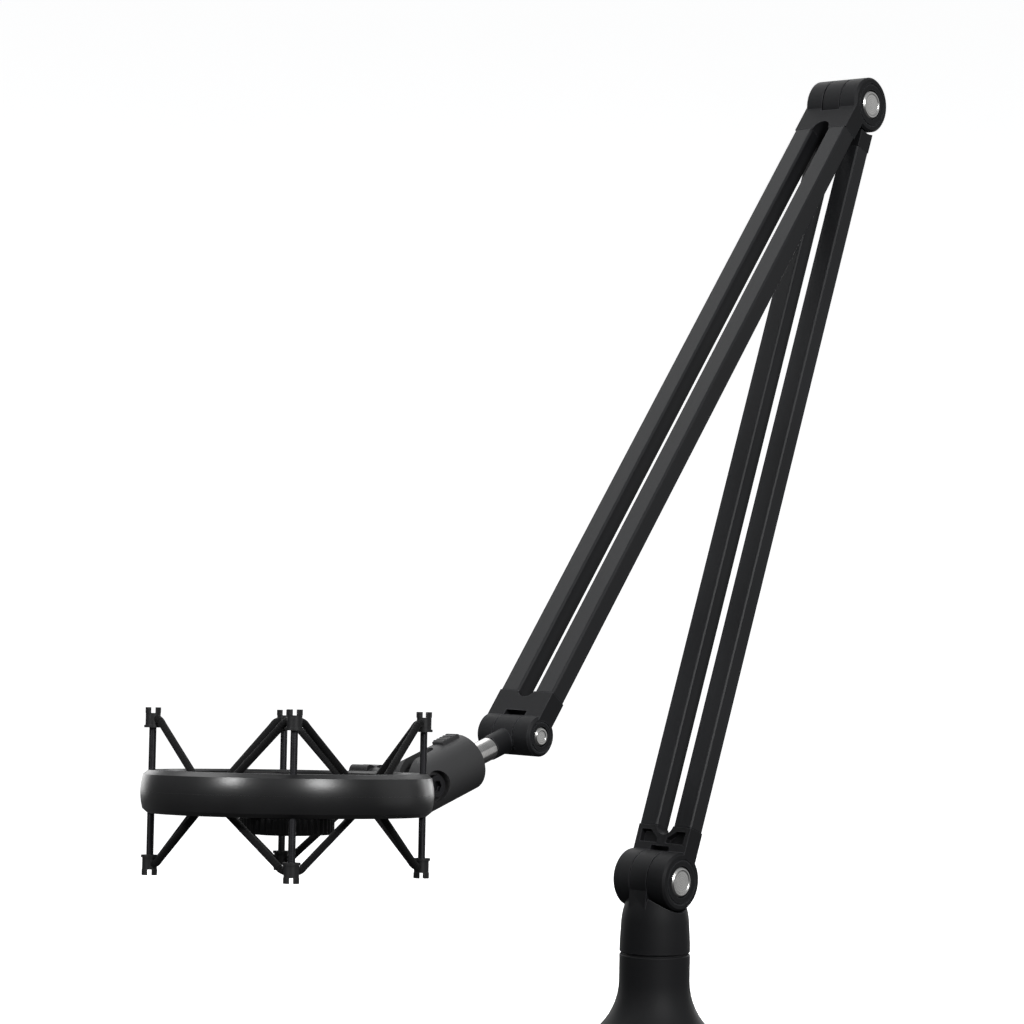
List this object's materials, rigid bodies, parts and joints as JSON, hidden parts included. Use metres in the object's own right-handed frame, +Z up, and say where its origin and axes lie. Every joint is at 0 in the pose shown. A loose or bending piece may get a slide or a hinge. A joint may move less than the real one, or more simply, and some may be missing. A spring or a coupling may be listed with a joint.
{
  "type": "microphone boom arm",
  "caption": "Desk-clamped folding microphone arm of twin square tubes with swivel base, tip swivel and an elastic shock mount ring.",
  "frame": {"origin": "on the base swivel axis, in the plane of the desk top, at the underside of the upper jaw's pad", "axes": "+Z up, +X the way the arm reaches, +Y along the base, elbow and tip hinges"},
  "size_m": [0.4341, 0.1133, 0.5721],
  "materials": {
    "satin_casting": "black satin powder coat",
    "anodised_tube": "black anodised, fine brushed",
    "clamp_paint": "black satin paint",
    "swivel_plastic": "dark grey fine matt moulding",
    "ring_plastic": "black satin moulding",
    "frame_plastic": "black matt moulding",
    "black_nylon": "black nylon",
    "pale_nylon": "natural nylon",
    "rubber": "black rubber",
    "elastic_cord": "black woven elastic",
    "steel": "turned steel",
    "dark_steel": "black oxide steel",
    "polished_cap": "turned and bevelled",
    "bright_shaft": "bright turned",
    "brass": "machined brass"
  },
  "bodies": {
    "clamp": {"clamp_frame": "clamp_paint", "jaw_pad": "rubber", "back_pad": "rubber", "pedestal": "satin_casting", "pedestal_screws": "dark_steel", "swivel_post": "steel", "swivel_washer": "black_nylon", "post_retainer": "dark_steel"},
    "pressure_foot": {"pressure_plate": "clamp_paint", "pressure_pad": "rubber"},
    "screw": {"clamp_screw": "steel", "clamp_handle": "black_nylon"},
    "head": {"swivel_head": "satin_casting", "post_bush": "pale_nylon"},
    "lower_arm": {"base_fork": "satin_casting", "lower_bar_left": "anodised_tube", "lower_bar_right": "anodised_tube", "elbow_tongue": "satin_casting", "base_pin": "steel", "base_caps": "polished_cap", "base_washers": "black_nylon", "lower_springs": "steel", "lower_tie_rods": "steel"},
    "upper_arm": {"elbow_fork": "satin_casting", "upper_bar_left": "anodised_tube", "upper_bar_right": "anodised_tube", "tip_fork": "satin_casting", "elbow_pin": "steel", "elbow_caps": "polished_cap", "elbow_washers": "black_nylon", "upper_springs": "steel", "upper_tie_rods": "steel", "tip_pin": "steel", "tip_caps": "polished_cap", "tip_washers": "black_nylon"},
    "tip_link": {"tip_knuckle": "satin_casting", "swivel_shaft": "bright_shaft", "shaft_clip": "dark_steel"},
    "swivel": {"swivel_body": "swivel_plastic", "pivot_bolt": "dark_steel", "button_spring": "steel"},
    "button": {"release_button": "swivel_plastic"},
    "knob": {"tilt_knob": "black_nylon", "knob_insert": "brass"},
    "ring": {"mount_ring": "ring_plastic", "ring_posts": "dark_steel", "post_caps": "frame_plastic", "cords_upper": "elastic_cord", "cords_lower": "elastic_cord"},
    "cradle": {"cradle": "frame_plastic", "cradle_insert": "brass", "cradle_pad": "rubber"},
    "nut": {"knurled_nut": "frame_plastic"}
  },
  "joints": [
    {"name": "screw_turn", "type": "hinge", "parent": "pressure_foot", "child": "screw", "pos_m": [0, 0, -0.06], "axis": [0, 0, 1], "range_deg": [-2530, 2530]},
    {"name": "foot_slide", "type": "slide", "parent": "clamp", "child": "pressure_foot", "axis": [0, 0, 1], "range_m": [-0.014, 0.014]},
    {"name": "base_swivel", "type": "hinge", "parent": "clamp", "child": "head", "pos_m": [0, 0, 0.051], "axis": [0, 0, 1], "continuous": true},
    {"name": "base_hinge", "type": "hinge", "parent": "head", "child": "lower_arm", "pos_m": [0, 0, 0.0835], "axis": [0, 1, 0], "range_deg": [-49, 45]},
    {"name": "elbow_hinge", "type": "hinge", "parent": "lower_arm", "child": "upper_arm", "pos_m": [-0.13618, 0, 0.43826], "axis": [0, 1, 0], "range_deg": [-130, 3]},
    {"name": "tip_hinge", "type": "hinge", "parent": "upper_arm", "child": "tip_link", "pos_m": [0.09588, 0, 0.15135], "axis": [0, 1, 0], "range_deg": [-60, 50]},
    {"name": "shaft_swivel", "type": "hinge", "parent": "tip_link", "child": "swivel", "pos_m": [0.13415, 0, 0.13972], "axis": [0.9568, 0, -0.2907], "continuous": true},
    {"name": "button_press", "type": "slide", "parent": "swivel", "child": "button", "axis": [-0.2904, 0.0436, -0.9559], "range_m": [0, 0.001], "stiffness_N_per_m": 600, "deforming": ["button_spring"]},
    {"name": "ring_tilt", "type": "hinge", "parent": "swivel", "child": "ring", "pos_m": [0.1552, 0, 0.13332], "axis": [0.0127, 0.999, 0.0417], "range_deg": [-60, 90]},
    {"name": "knob_turn", "type": "hinge", "parent": "swivel", "child": "knob", "pos_m": [0.1552, 0, 0.13332], "axis": [-0.0127, -0.999, -0.0417], "range_deg": [-30, 540]},
    {"name": "cradle_bounce", "type": "slide", "parent": "ring", "child": "cradle", "axis": [-0.0509, -0.041, 0.9979], "range_m": [-0.004, 0.004], "stiffness_N_per_m": 1500, "deforming": ["cords_upper", "cords_lower"]},
    {"name": "nut_turn", "type": "hinge", "parent": "cradle", "child": "nut", "pos_m": [0.22906, -0.00047, 0.12204], "axis": [-0.0509, -0.041, 0.9979], "continuous": true}
  ],
  "couplings": [
    {"joint": "screw_turn", "follows": "foot_slide", "rad_per_m": 3141.6}
  ]
}
